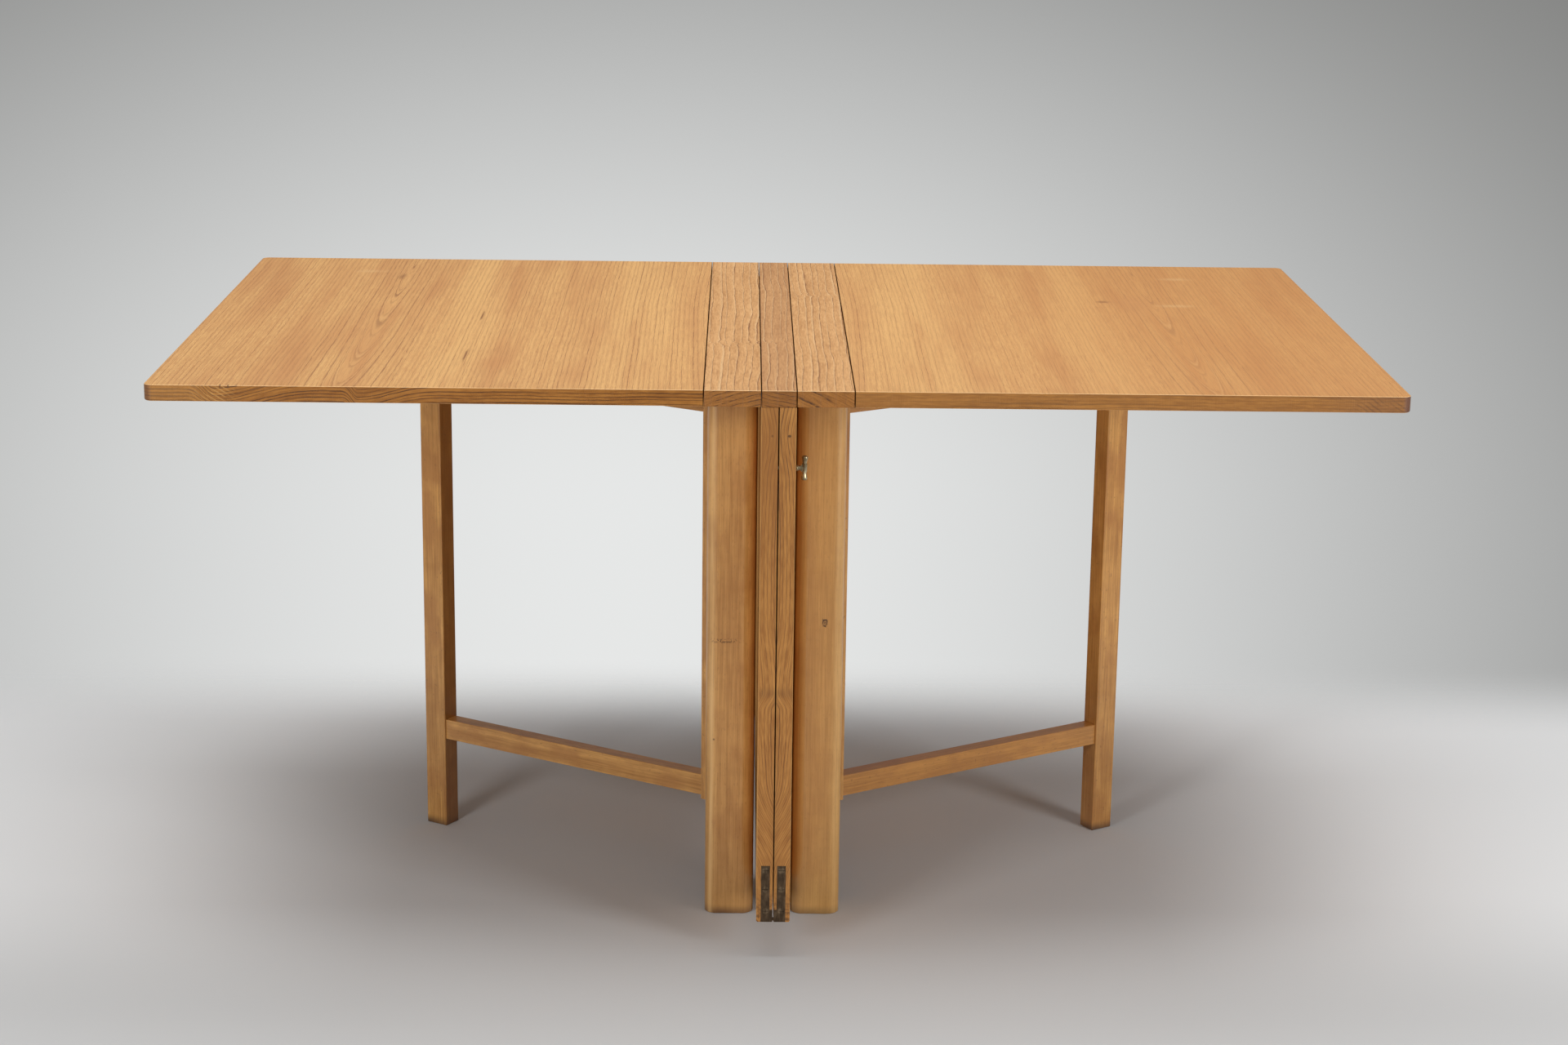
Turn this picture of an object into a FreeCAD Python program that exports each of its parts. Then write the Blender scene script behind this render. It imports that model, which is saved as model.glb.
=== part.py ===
import FreeCAD, Part
import os

Vector = FreeCAD.Vector

# Tops: every board has the same thickness and the upper faces are level (mm)
table_height = 720.0
table_depth = 900.0
board_thickness = 20.0
joint_gap = 0.8
fixed_strip_width = 67.8
outer_leaf_span = 659.6
leaf_corner_radius = 10.0
top_arris = 1.2
lower_arris = 2.2
joint_arris = 0.5
lipping_width = 8.0

# Inner leaves, which hang face to face under the centre strip
inner_leaf_spacing = 1.6
inner_leaf_floor_clearance = 48.0
inner_leaf_top_gap = 0.5
inner_end_round = 0.8
inner_outer_round = 2.4
centre_strip_inset = 0.15
centre_strip_lower_round = 1.6

# Wide legs, set in from the front and back edges, and the rails between them
leg_width = 62.0
leg_depth = 45.0
leg_setback = 144.0
leg_face_radius = 15.0
leg_inner_radius = 5.0
foot_arris = 1.5
upper_rail_thickness = 21.0
upper_rail_height = 60.0
lower_rail_thickness = 26.0
lower_rail_height = 36.0
lower_rail_top = 120.0
rail_tenon_length = 25.0
rail_tenon_shoulder = 6.0
rail_arris = 1.0
dowel_radius = 5.0
dowel_spacing = 22.0
dowel_depth_in_leg = 24.0
dowel_depth_in_strip = 12.0

# Gates: the angle is between a gate and the length of the table
gate_angle = 31.5
gate_thickness = 27.5
gate_stile_width = 33.0
gate_post_width = 33.0
gate_rail_thickness = 22.0
gate_top_rail_height = 57.0
stretcher_height = 28.0
stretcher_rise = 4.0
gate_side_inset = 0.25
gate_pivot_setback = 52.5
gate_end_clearance = 3.5
gate_leaf_clearance = 0.3
gate_knuckle_clearance = 0.5
gate_tenon_length = 10.0
gate_tenon_shoulder = 4.0
post_arris = 1.5
pivot_pin_radius = 4.0
pivot_collar_radius = 8.0
pivot_collar_thickness = 2.2
pivot_collar_gap = 0.3
pivot_pin_in_stile = 25.0
pivot_pin_in_strip = 12.0
pivot_pin_in_block = 25.0
pivot_block_length = 75.0

# Butt hinges let into the undersides along the four leaf joints
hinge_length = 50.0
hinge_plate_width = 22.0
hinge_plate_thickness = 1.6
hinge_knuckle_radius = 2.5
hinge_middle_knuckle = 20.0
hinge_pin_radius = 1.2
hinge_end_inset = 90.0
hinge_screw_offset = 13.0
hinge_screw_stagger = 3.0
hinge_screw_pitch = 16.0
hinge_screw_head_radius = 2.9
hinge_screw_shank_radius = 1.5
hinge_screw_length = 12.0

# L-shaped double-pivot hinges in the front and back edges of the inner leaves
card_plate_thickness = 5.0
card_bar_inset = 3.5
card_bar_width = 11.0
card_bar_height = 74.0
card_foot_height = 16.0
card_end_gap = 1.0
link_pivot_offset = 3.5
link_radius = 2.0
link_thickness = 1.4
link_pin_radius = 1.1
card_screw_heights = (14.3, 42.7, 67.7)
card_screw_head_radius = 3.9
card_screw_head_depth = 2.6
card_screw_shank_radius = 2.0
card_screw_length = 22.0

# Clamp screw through the upper front of the inner leaves
clamp_drop = 78.2
clamp_inset = 20.0
clamp_spindle_radius = 3.0
clamp_tip_length = 12.0
clamp_collar_radius = 3.5
clamp_collar_length = 2.6
clamp_collar_round = 1.0
clamp_boss_radius = 3.2
clamp_boss_height = 10.0
clamp_web_radius = 1.6
clamp_web_thickness = 4.4
clamp_bar_offset = 10.5
clamp_bar_radius = 2.5
clamp_bar_length = 28.0
clamp_bar_end_round = 1.2
clamp_bar_tilt = 1.5
clamp_bush_radius = 5.0
clamp_socket_clearance = 0.5
clamp_socket_floor = 2.0

# Clearances: glued or driven, turning on a pin, and passing by
glue_gap = 0.04
running_clearance = 0.06
passing_gap = 0.3

# Places worked out from the sizes above
underside = table_height - board_thickness
half_depth = table_depth / 2
inner_face = inner_leaf_spacing / 2
outer_face = inner_face + board_thickness
inner_leaf_top = underside - inner_leaf_top_gap
centre_half_width = outer_face - centre_strip_inset
strip_in = centre_half_width + joint_gap
strip_out = strip_in + fixed_strip_width
leaf_in = strip_out + joint_gap
leaf_out = leaf_in + outer_leaf_span
outer_hinge_x = strip_out + joint_gap / 2
inner_hinge_x = outer_face
outer_hinge_places = (-half_depth + hinge_end_inset, 0.0, half_depth - hinge_end_inset)
inner_hinge_places = (-half_depth + hinge_end_inset, half_depth - hinge_end_inset)
leg_middle = (strip_in + strip_out) / 2
leg_in = leg_middle - leg_width / 2
leg_out = leg_middle + leg_width / 2
leg_face_y = half_depth - leg_setback
leg_rail_y = leg_face_y - leg_depth
rail_in = leg_in + leg_inner_radius
dowel_in = rail_in + upper_rail_thickness + dowel_radius
block_in = rail_in + lower_rail_thickness
block_out = leg_out - leg_inner_radius
pivot_x = leg_out - gate_side_inset - gate_thickness / 2
pivot_y = gate_pivot_setback - leg_rail_y
gate_reach = leg_rail_y - gate_end_clearance - pivot_y
gate_rail_top = underside - hinge_knuckle_radius - gate_knuckle_clearance
gate_stile_bottom = lower_rail_top + pivot_collar_thickness + pivot_collar_gap
stretcher_bottom = gate_stile_bottom + stretcher_rise
inner_fold_z = inner_leaf_floor_clearance - card_end_gap / 2
link_pivot_z = inner_fold_z + link_pivot_offset
link_slide = 2 * link_pivot_offset * (2 ** 0.5 - 1)
card_bar_in = inner_face + card_bar_inset
card_bar_out = card_bar_in + card_bar_width
clamp_y = -half_depth + clamp_inset
clamp_z = underside - clamp_drop


def box(x0, x1, y0, y1, z0, z1):
    """A block between two corners, given in any order."""
    low = Vector(min(x0, x1), min(y0, y1), min(z0, z1))
    return Part.makeBox(abs(x1 - x0), abs(y1 - y0), abs(z1 - z0), low)


def rod(radius, start, end):
    """A round bar between two points."""
    return Part.makeCylinder(radius, (end - start).Length, start, end - start)


def moved(shape, place, axis=Vector(0, 0, 1), angle=0.0):
    """A copy turned about an axis through the origin, then carried to its place."""
    turned = shape.copy()
    turned.Placement = FreeCAD.Placement(place, FreeCAD.Rotation(axis, angle))
    return turned


def mirrored(shape, axis):
    """The same piece on the other side of the table's middle plane."""
    return shape.mirror(Vector(0, 0, 0), axis)


def eased(shape, radius, along, test):
    """Rounds the edges that run along one axis and whose middle passes the test."""
    chosen = []
    for edge in shape.Edges:
        middle = edge.valueAt((edge.FirstParameter + edge.LastParameter) / 2)
        ends = [vertex.Point for vertex in edge.Vertexes]
        run = ends[-1] - ends[0]
        if run.Length > 0 and abs(run.dot(along)) > 0.999 * run.Length and test(middle):
            chosen.append(edge)
    return shape.makeFillet(radius, chosen)


def eased_loop(shape, radius, height):
    """Rounds every edge that lies in one level plane."""
    loop = [edge for edge in shape.Edges if all(abs(v.Z - height) < 1e-6 for v in edge.Vertexes)]
    return shape.makeFillet(radius, loop)


def screw(head_radius, head_depth, shank_radius, length):
    """A slotted countersunk wood screw, head at the origin and driven along +Z."""
    head = Part.makeCone(head_radius, shank_radius, head_depth)
    shank = rod(shank_radius, Vector(0, 0, head_depth), Vector(0, 0, length))
    slot_half_width = head_radius / 8
    slot = box(-head_radius, head_radius, -slot_half_width, slot_half_width, 0, head_depth / 3)
    return head.fuse(shank).removeSplitter().cut(slot)


def screw_hole(head_radius, head_depth, shank_radius, length):
    """The countersink and pilot hole that such a screw is driven into."""
    head = Part.makeCone(head_radius + glue_gap, shank_radius + glue_gap, head_depth)
    pilot = rod(shank_radius + glue_gap, Vector(0, 0, 0), Vector(0, 0, length + glue_gap))
    return head.fuse(pilot).removeSplitter()


def tenoned_bar(x0, x1, y0, y1, z0, z1, tenon, shoulder, arris):
    """A rail along X with a shouldered tenon at each end and eased long edges."""
    bar = box(x0, x1, y0, y1, z0, z1)
    bar = eased(bar, arris, Vector(1, 0, 0), lambda point: True)
    core = box(x0 - tenon, x1 + tenon, y0 + shoulder, y1 - shoulder, z0 + shoulder, z1 - shoulder)
    return bar.fuse(core).removeSplitter()


def knuckle_spans(owner):
    """The stretches of the hinge pin that the strip's plate or the leaf's plate wraps."""
    half = hinge_length / 2
    middle = hinge_middle_knuckle / 2
    if owner == "leaf":
        return [(passing_gap / 2 - middle, middle - passing_gap / 2)]
    return [(-half, -middle - passing_gap / 2), (middle + passing_gap / 2, half)]


def hinge_screw_spots(way):
    """Where the three screws of a plate go, the middle one a little further from the pin."""
    spots = []
    for step in (-1, 0, 1):
        stagger = 0.0 if step else hinge_screw_stagger
        spots.append(Vector(way * (hinge_screw_offset + stagger), step * hinge_screw_pitch, 0))
    return spots


def hinge_screw_sizes():
    """Head radius, head depth, shank radius and length of a leaf hinge screw."""
    return (hinge_screw_head_radius, hinge_plate_thickness, hinge_screw_shank_radius, hinge_screw_length)


def hinge_plate(owner, way):
    """One plate of a butt hinge about the Y axis, reaching one way along X, let in upwards."""
    half = hinge_length / 2
    plate = box(0, way * hinge_plate_width, -half, half, 0, hinge_plate_thickness)
    for start, end in knuckle_spans(owner):
        plate = plate.fuse(rod(hinge_knuckle_radius, Vector(0, start, 0), Vector(0, end, 0)))
    for start, end in knuckle_spans("strip" if owner == "leaf" else "leaf"):
        room = (Vector(0, start - passing_gap, 0), Vector(0, end + passing_gap, 0))
        plate = plate.cut(rod(hinge_knuckle_radius + passing_gap, *room))
    bore = (Vector(0, -hinge_length, 0), Vector(0, hinge_length, 0))
    plate = plate.cut(rod(hinge_pin_radius + running_clearance, *bore))
    for spot in hinge_screw_spots(way):
        plate = plate.cut(moved(screw_hole(*hinge_screw_sizes()), spot))
    return plate.removeSplitter()


def hinge_seat(way):
    """What is cut from a board for one plate: its recess, room for the knuckles and the pilots."""
    half = hinge_length / 2
    room = half + passing_gap
    seat = box(0, way * hinge_plate_width, -half, half, 0, hinge_plate_thickness)
    seat = seat.fuse(rod(hinge_knuckle_radius + passing_gap, Vector(0, -room, 0), Vector(0, room, 0)))
    for spot in hinge_screw_spots(way):
        seat = seat.fuse(moved(screw_hole(*hinge_screw_sizes()), spot))
    return seat


def hinge_screws(way):
    """The three screws of one plate."""
    return [moved(screw(*hinge_screw_sizes()), spot) for spot in hinge_screw_spots(way)]


def hinge_pin():
    """A pin as long as its hinge."""
    half = hinge_length / 2
    return rod(hinge_pin_radius, Vector(0, -half, 0), Vector(0, half, 0))


def outer_hinge_spots():
    """Pin centres along the joint between a fixed strip and its outer leaf."""
    return [Vector(outer_hinge_x, y, underside) for y in outer_hinge_places]


def inner_hinge_spots():
    """Pin centres along the joint between a fixed strip and its inner leaf."""
    return [Vector(inner_hinge_x, y, underside) for y in inner_hinge_places]


def hung(shape, spot):
    """Places a leaf plate, its seat or a screw at an inner hinge, folded down against the leaf."""
    return moved(shape, spot, Vector(0, 1, 0), -90.0)


def split_lippings(board):
    """Parts a board into its panel and the lippings along its front and back edges."""
    edge = half_depth - lipping_width
    panel_zone = box(-leaf_out, leaf_out, -edge, edge, 0, table_height)
    return board.common(panel_zone), board.cut(panel_zone)


def leg_dowels():
    """The pegs between the tops of both legs and the strip."""
    pegs = []
    for y in (leg_rail_y + leg_depth / 2, -leg_rail_y - leg_depth / 2):
        for x in (dowel_in, dowel_in + dowel_spacing):
            low = Vector(x, y, underside - dowel_depth_in_leg)
            pegs.append(rod(dowel_radius, low, Vector(x, y, underside + dowel_depth_in_strip)))
    return pegs


def dowel_holes():
    """The same pegs with room for glue."""
    holes = []
    for peg in leg_dowels():
        low = Vector(peg.BoundBox.Center.x, peg.BoundBox.Center.y, peg.BoundBox.ZMin - glue_gap)
        high = Vector(low.x, low.y, peg.BoundBox.ZMax + glue_gap)
        holes.append(rod(dowel_radius + glue_gap, low, high))
    return holes


def upper_rail():
    """The rail under the strip, tenoned into both legs."""
    return rail(upper_rail_thickness, underside - upper_rail_height, underside)


def lower_rail():
    """The rail low between the legs."""
    return rail(lower_rail_thickness, lower_rail_top - lower_rail_height, lower_rail_top)


def rail(thickness, bottom, top):
    """A rail along the table's depth, on the inner side of the legs' flat faces."""
    bar = tenoned_bar(-leg_rail_y, leg_rail_y, -thickness, 0, bottom, top,
                      rail_tenon_length, rail_tenon_shoulder, rail_arris)
    return moved(bar, Vector(rail_in, 0, 0), Vector(0, 0, 1), 90.0)


def front_leg():
    """A wide leg: its show face is boldly rounded at both sides, its hidden face less."""
    leg = box(leg_in, leg_out, -leg_face_y, -leg_rail_y, 0, underside)
    upright = Vector(0, 0, 1)
    middle_y = -(leg_face_y + leg_rail_y) / 2
    leg = eased(leg, leg_face_radius, upright, lambda point: point.y < middle_y)
    leg = eased(leg, leg_inner_radius, upright, lambda point: point.y > -leg_rail_y - leg_inner_radius)
    leg = eased_loop(leg, foot_arris, 0)
    return leg.cut([upper_rail(), lower_rail()] + dowel_holes())


def back_leg():
    """The back leg is the front one turned to face the other way."""
    return mirrored(front_leg(), Vector(0, 1, 0))


def pivot_block():
    """The block behind the front leg that carries the gate's lower pin."""
    block = box(block_in, block_out, -leg_rail_y, -leg_rail_y + pivot_block_length,
                lower_rail_top - lower_rail_height, lower_rail_top)
    block = eased(block, rail_arris, Vector(0, 1, 0), lambda point: point.x > block_out - rail_arris)
    return block.cut(pin_hole(lower_rail_top - pivot_pin_in_block, lower_rail_top))


def pin_hole(bottom, top):
    """The hole that holds a gate pin fast."""
    return rod(pivot_pin_radius + glue_gap, Vector(pivot_x, pivot_y, bottom - glue_gap),
               Vector(pivot_x, pivot_y, top + glue_gap))


def gate_pivot_pins():
    """The collared pins that the stile turns on, one in the block and one in the strip."""
    axis = Vector(pivot_x, pivot_y, 0)
    lower = rod(pivot_pin_radius, axis + Vector(0, 0, lower_rail_top - pivot_pin_in_block),
                axis + Vector(0, 0, gate_stile_bottom + pivot_pin_in_stile))
    lower_collar = rod(pivot_collar_radius, axis + Vector(0, 0, lower_rail_top),
                       axis + Vector(0, 0, lower_rail_top + pivot_collar_thickness))
    upper = rod(pivot_pin_radius, axis + Vector(0, 0, gate_rail_top - pivot_pin_in_stile),
                axis + Vector(0, 0, underside + pivot_pin_in_strip))
    upper_collar = rod(pivot_collar_radius, axis + Vector(0, 0, gate_rail_top + pivot_collar_gap),
                       axis + Vector(0, 0, underside))
    return [lower.fuse(lower_collar).removeSplitter(), upper.fuse(upper_collar).removeSplitter()]


def fixed_strip():
    """The narrow top board that stays on the legs."""
    strip = box(strip_in, strip_out, -half_depth, half_depth, underside, table_height)
    strip = eased(strip, top_arris, Vector(1, 0, 0), lambda point: point.z > underside)
    strip = eased(strip, joint_arris, Vector(1, 0, 0), lambda point: point.z < underside + joint_arris)
    cuts = dowel_holes() + [pin_hole(underside, underside + pivot_pin_in_strip)]
    cuts += [moved(hinge_seat(-1), spot) for spot in outer_hinge_spots()]
    cuts += [moved(hinge_seat(1), spot) for spot in inner_hinge_spots()]
    return strip.cut(cuts)


def outer_leaf():
    """The wide leaf outside the strip, with two rounded corners and eased edges."""
    leaf = box(leaf_in, leaf_out, -half_depth, half_depth, underside, table_height)
    leaf = eased(leaf, leaf_corner_radius, Vector(0, 0, 1), lambda point: point.x > leaf_out - leaf_corner_radius)
    for arris, height in ((top_arris, table_height), (lower_arris, underside)):
        free = [edge for edge in leaf.Edges
                if all(abs(v.Z - height) < 1e-6 for v in edge.Vertexes)
                and max(v.X for v in edge.Vertexes) > leaf_in + leaf_corner_radius]
        leaf = leaf.makeFillet(arris, free)
    return leaf.cut([moved(hinge_seat(1), spot) for spot in outer_hinge_spots()])


def inner_leaf_blank():
    """The hanging leaf before anything is let into it; its lower edges are eased."""
    leaf = box(inner_face, outer_face, -half_depth, half_depth, inner_leaf_floor_clearance, inner_leaf_top)
    depthwise = Vector(0, 1, 0)
    low = inner_leaf_floor_clearance + inner_end_round
    middle_x = (inner_face + outer_face) / 2
    leaf = eased(leaf, inner_end_round, depthwise, lambda point: point.z < low and point.x < middle_x)
    leaf = eased(leaf, inner_outer_round, depthwise, lambda point: point.z < low and point.x > middle_x)
    return leaf


def card_plate_outline():
    """An L of bar and foot, let into the front edge of the leaf."""
    front = -half_depth
    back = front + card_plate_thickness
    floor = inner_leaf_floor_clearance
    bar = box(card_bar_in, card_bar_out, front, back, floor, floor + card_bar_height)
    foot = box(inner_face, card_bar_out, front, back, floor, floor + card_foot_height)
    return bar.fuse(foot).removeSplitter()


def card_screw_spots():
    """Screw places on the front plate."""
    x = (card_bar_in + card_bar_out) / 2
    return [Vector(x, -half_depth, inner_leaf_floor_clearance + height) for height in card_screw_heights]


def card_screw_sizes():
    """Head radius, head depth, shank radius and length of an L hinge screw."""
    return (card_screw_head_radius, card_screw_head_depth, card_screw_shank_radius, card_screw_length)


def into_edge(shape, spot):
    """Places a screw or its hole in the front edge, pointing back."""
    return moved(shape, spot, Vector(1, 0, 0), -90.0)


def card_screws():
    """The screws of the front plate and, mirrored, of the back plate."""
    front = [into_edge(screw(*card_screw_sizes()), spot) for spot in card_screw_spots()]
    return front + [mirrored(item, Vector(0, 1, 0)) for item in front]


def card_screw_holes():
    """The holes for the front plate's screws."""
    return [into_edge(screw_hole(*card_screw_sizes()), spot) for spot in card_screw_spots()]


def link_slot():
    """The sides of the slot across the plate's thickness in which the link turns."""
    middle = -half_depth + card_plate_thickness / 2
    half = link_thickness / 2 + passing_gap
    return middle - half, middle + half


def card_pin(radius):
    """The pivot pin across the foot of the front plate."""
    start = Vector(link_pivot_offset, -half_depth, link_pivot_z)
    return rod(radius, start, start + Vector(0, card_plate_thickness, 0))


def card_plate():
    """The front plate, slotted for the link and bored for its pin and screws."""
    plate = card_plate_outline().common(inner_leaf_blank())
    reach = link_slide + link_radius + passing_gap
    slot = box(0, link_pivot_offset + reach, *link_slot(), 0, link_pivot_z + reach)
    return plate.cut([slot, card_pin(link_pin_radius + glue_gap)] + card_screw_holes())


def round_ended(radius, start, end, across):
    """A flat bar whose round ends are centred on two points at one height."""
    bar = box(start.x, end.x, start.y, start.y + across.y, start.z - radius, start.z + radius)
    for centre in (start, end):
        bar = bar.fuse(rod(radius, centre, centre + across))
    return bar.removeSplitter()


def card_links():
    """The front link and, mirrored, the back one: round hole left, slot right as the pins draw apart."""
    low = -half_depth + (card_plate_thickness - link_thickness) / 2
    across = Vector(0, link_thickness, 0)
    left_pin = Vector(-link_pivot_offset, low, link_pivot_z)
    right_pin = Vector(link_pivot_offset, low, link_pivot_z)
    slot_end = right_pin + Vector(link_slide, 0, 0)
    hole = link_pin_radius + running_clearance
    link = round_ended(link_radius, left_pin, slot_end, across)
    link = link.cut([rod(hole, left_pin, left_pin + across), round_ended(hole, right_pin, slot_end, across)])
    return [link, mirrored(link, Vector(0, 1, 0))]


def clamp_bush():
    """The bush through the right inner leaf that guides the clamp spindle."""
    start = Vector(inner_face, clamp_y, clamp_z)
    end = Vector(outer_face, clamp_y, clamp_z)
    return rod(clamp_bush_radius, start, end).cut(rod(clamp_spindle_radius + running_clearance, start, end))


def clamp_socket():
    """The blind socket in the left inner leaf that takes the tip of the spindle."""
    start = Vector(-inner_face, clamp_y, clamp_z)
    end = start - Vector(clamp_tip_length + clamp_socket_floor, 0, 0)
    mouth = rod(clamp_spindle_radius + clamp_socket_clearance, start, end + Vector(clamp_socket_floor, 0, 0))
    return rod(clamp_bush_radius, start, end).cut(mouth)


def at_clamp_head(shape):
    """Carries a piece of the clamp's head to its place outside the right inner leaf, a little tilted."""
    centre = Vector(outer_face + clamp_bar_offset, clamp_y, clamp_z)
    return moved(shape, centre, Vector(0, 1, 0), clamp_bar_tilt)


def round_rims(shape, radius):
    """Rounds both end rims of a round bar."""
    return shape.makeFillet(radius, [edge for edge in shape.Edges if len(edge.Vertexes) == 1])


def clamp_bar(radius):
    """A straight bar as long as the crossbar, at the origin along Z."""
    half = clamp_bar_length / 2
    return rod(radius, Vector(0, 0, -half), Vector(0, 0, half))


def clamp_head():
    """The boss that holds the crossbar, at the origin, with a web on the spindle's side."""
    half = clamp_boss_height / 2
    boss = rod(clamp_boss_radius, Vector(0, 0, -half), Vector(0, 0, half))
    reach = clamp_boss_radius + clamp_web_radius
    top = clamp_spindle_radius + clamp_web_radius
    side = clamp_web_thickness / 2
    web = box(-reach, 0, -side, side, -top, top)
    for height in (-top, top):
        web = web.cut(rod(clamp_web_radius, Vector(-reach, -side, height), Vector(-reach, side, height)))
    return boss.fuse(web).removeSplitter()


def clamp_spindle():
    """The plain round spindle with a collar outside the leaf and a bored head at its end."""
    tip = Vector(-inner_face - clamp_tip_length + passing_gap, clamp_y, clamp_z)
    spindle = rod(clamp_spindle_radius, tip, Vector(outer_face + clamp_bar_offset, clamp_y, clamp_z))
    shoulder = Vector(outer_face + passing_gap, clamp_y, clamp_z)
    collar = rod(clamp_collar_radius, shoulder, shoulder + Vector(clamp_collar_length, 0, 0))
    collar = round_rims(collar, clamp_collar_round)
    whole = spindle.fuse([collar, at_clamp_head(clamp_head())]).removeSplitter()
    return whole.cut(at_clamp_head(clamp_bar(clamp_bar_radius + glue_gap)))


def clamp_crossbar():
    """The crossbar through the head, its ends rounded off."""
    return at_clamp_head(round_rims(clamp_bar(clamp_bar_radius), clamp_bar_end_round))


def inner_leaf(clamp_hole):
    """The hanging leaf with its hinge seats, L hinge recesses and the clamp's hole."""
    front_cuts = [card_plate_outline()] + card_screw_holes()
    cuts = front_cuts + [mirrored(item, Vector(0, 1, 0)) for item in front_cuts]
    cuts += [hung(hinge_seat(-1), spot) for spot in inner_hinge_spots()]
    return inner_leaf_blank().cut(cuts + [clamp_hole])


def bush_hole(depth):
    """The hole for the bush or the socket, from the leaf's inner face outwards."""
    start = Vector(inner_face, clamp_y, clamp_z)
    return rod(clamp_bush_radius + glue_gap, start, start + Vector(depth + glue_gap, 0, 0))


def centre_strip():
    """The loose board that fills the slot above the inner leaves."""
    strip = box(-centre_half_width, centre_half_width, -half_depth, half_depth, underside, table_height)
    strip = eased(strip, top_arris, Vector(1, 0, 0), lambda point: point.z > underside)
    strip = eased(strip, centre_strip_lower_round, Vector(0, 1, 0),
                  lambda point: point.z < underside + centre_strip_lower_round)
    for spot in inner_hinge_spots():
        for x in (-spot.x, spot.x):
            room = Vector(0, hinge_length / 2 + passing_gap, 0)
            middle = Vector(x, spot.y, spot.z)
            strip = strip.cut(rod(hinge_knuckle_radius + passing_gap, middle - room, middle + room))
    return strip


def gate_top_rail():
    """The upper bar of a gate, in the gate's own frame: X runs out from the pivot."""
    half = gate_rail_thickness / 2
    return tenoned_bar(gate_stile_width / 2, gate_reach - gate_post_width, -half, half,
                       gate_rail_top - gate_top_rail_height, gate_rail_top,
                       gate_tenon_length, gate_tenon_shoulder, rail_arris)


def gate_stretcher():
    """The lower bar of a gate, in the gate's own frame."""
    half = gate_rail_thickness / 2
    return tenoned_bar(gate_stile_width / 2, gate_reach - gate_post_width, -half, half,
                       stretcher_bottom, stretcher_bottom + stretcher_height,
                       gate_tenon_length, gate_tenon_shoulder, rail_arris)


def gate_stile():
    """The hinged upright of a gate, bored for its two pins."""
    half = gate_stile_width / 2
    stile = box(-half, half, -gate_thickness / 2, gate_thickness / 2, gate_stile_bottom, gate_rail_top)
    stile = eased(stile, post_arris, Vector(0, 0, 1), lambda point: True)
    bores = []
    for end, way in ((gate_stile_bottom, 1), (gate_rail_top, -1)):
        floor = Vector(0, 0, end + way * (pivot_pin_in_stile + passing_gap))
        bores.append(rod(pivot_pin_radius + running_clearance, Vector(0, 0, end), floor))
    return stile.cut([gate_top_rail(), gate_stretcher()] + bores)


def gate_post():
    """The outer upright of a gate, from the floor to just under the leaf."""
    half = gate_thickness / 2
    post = box(gate_reach - gate_post_width, gate_reach, -half, half, 0, underside - gate_leaf_clearance)
    post = eased(post, post_arris, Vector(0, 0, 1), lambda point: True)
    post = eased_loop(post, foot_arris, 0)
    return post.cut([gate_top_rail(), gate_stretcher()])


def swung(shape):
    """Carries a gate piece to its pivot and swings it out to where it holds the leaf."""
    return moved(shape, Vector(pivot_x, pivot_y, 0), Vector(0, 0, 1), gate_angle)


def right_half():
    """Every piece that both halves of the table have, as solids of the right half."""
    leaf_panel, leaf_lippings = split_lippings(outer_leaf())
    plates = [moved(hinge_plate("strip", -1), spot) for spot in outer_hinge_spots()]
    plates += [moved(hinge_plate("strip", 1), spot) for spot in inner_hinge_spots()]
    screws = [moved(Part.makeCompound(hinge_screws(-1)), spot) for spot in outer_hinge_spots()]
    screws += [moved(Part.makeCompound(hinge_screws(1)), spot) for spot in inner_hinge_spots()]
    back = Vector(0, 1, 0)
    return {
        "fixed_strip": [fixed_strip()],
        "front_leg": [front_leg()],
        "back_leg": [back_leg()],
        "leg_dowels": leg_dowels(),
        "upper_rail": [upper_rail()],
        "lower_rail": [lower_rail()],
        "pivot_block": [pivot_block()],
        "gate_pivot_pins": gate_pivot_pins(),
        "strip_hinge_plates": plates,
        "hinge_pins": [moved(hinge_pin(), spot) for spot in outer_hinge_spots() + inner_hinge_spots()],
        "strip_hinge_screws": screws,
        "outer_leaf": [leaf_panel],
        "outer_leaf_lippings": [leaf_lippings],
        "outer_leaf_hinge_plates": [moved(hinge_plate("leaf", 1), spot) for spot in outer_hinge_spots()],
        "outer_leaf_hinge_screws": [moved(Part.makeCompound(hinge_screws(1)), spot)
                                    for spot in outer_hinge_spots()],
        "inner_leaf_hinge_plates": [hung(hinge_plate("leaf", -1), spot) for spot in inner_hinge_spots()],
        "inner_leaf_hinge_screws": [hung(Part.makeCompound(hinge_screws(-1)), spot)
                                    for spot in inner_hinge_spots()],
        "card_hinge_plates": [card_plate(), mirrored(card_plate(), back)],
        "card_hinge_pins": [card_pin(link_pin_radius), mirrored(card_pin(link_pin_radius), back)],
        "card_hinge_screws": card_screws(),
        "gate_stile": [swung(gate_stile())],
        "gate_post": [swung(gate_post())],
        "gate_top_rail": [swung(gate_top_rail())],
        "gate_stretcher": [swung(gate_stretcher())],
    }


def save(name, shapes):
    """Writes one node: every solid in the shapes, as one file."""
    solids = [solid for shape in shapes for solid in shape.Solids]
    whole = solids[0] if len(solids) == 1 else Part.makeCompound(solids)
    whole.exportStep("parts/" + name + ".step")


os.makedirs("parts", exist_ok=True)

across = Vector(1, 0, 0)
for name, shapes in right_half().items():
    save("right_" + name, shapes)
    save("left_" + name, [mirrored(shape, across) for shape in shapes])

right_panel, right_lippings = split_lippings(inner_leaf(bush_hole(board_thickness)))
save("right_inner_leaf", [right_panel])
save("right_inner_leaf_lippings", [right_lippings])

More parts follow.
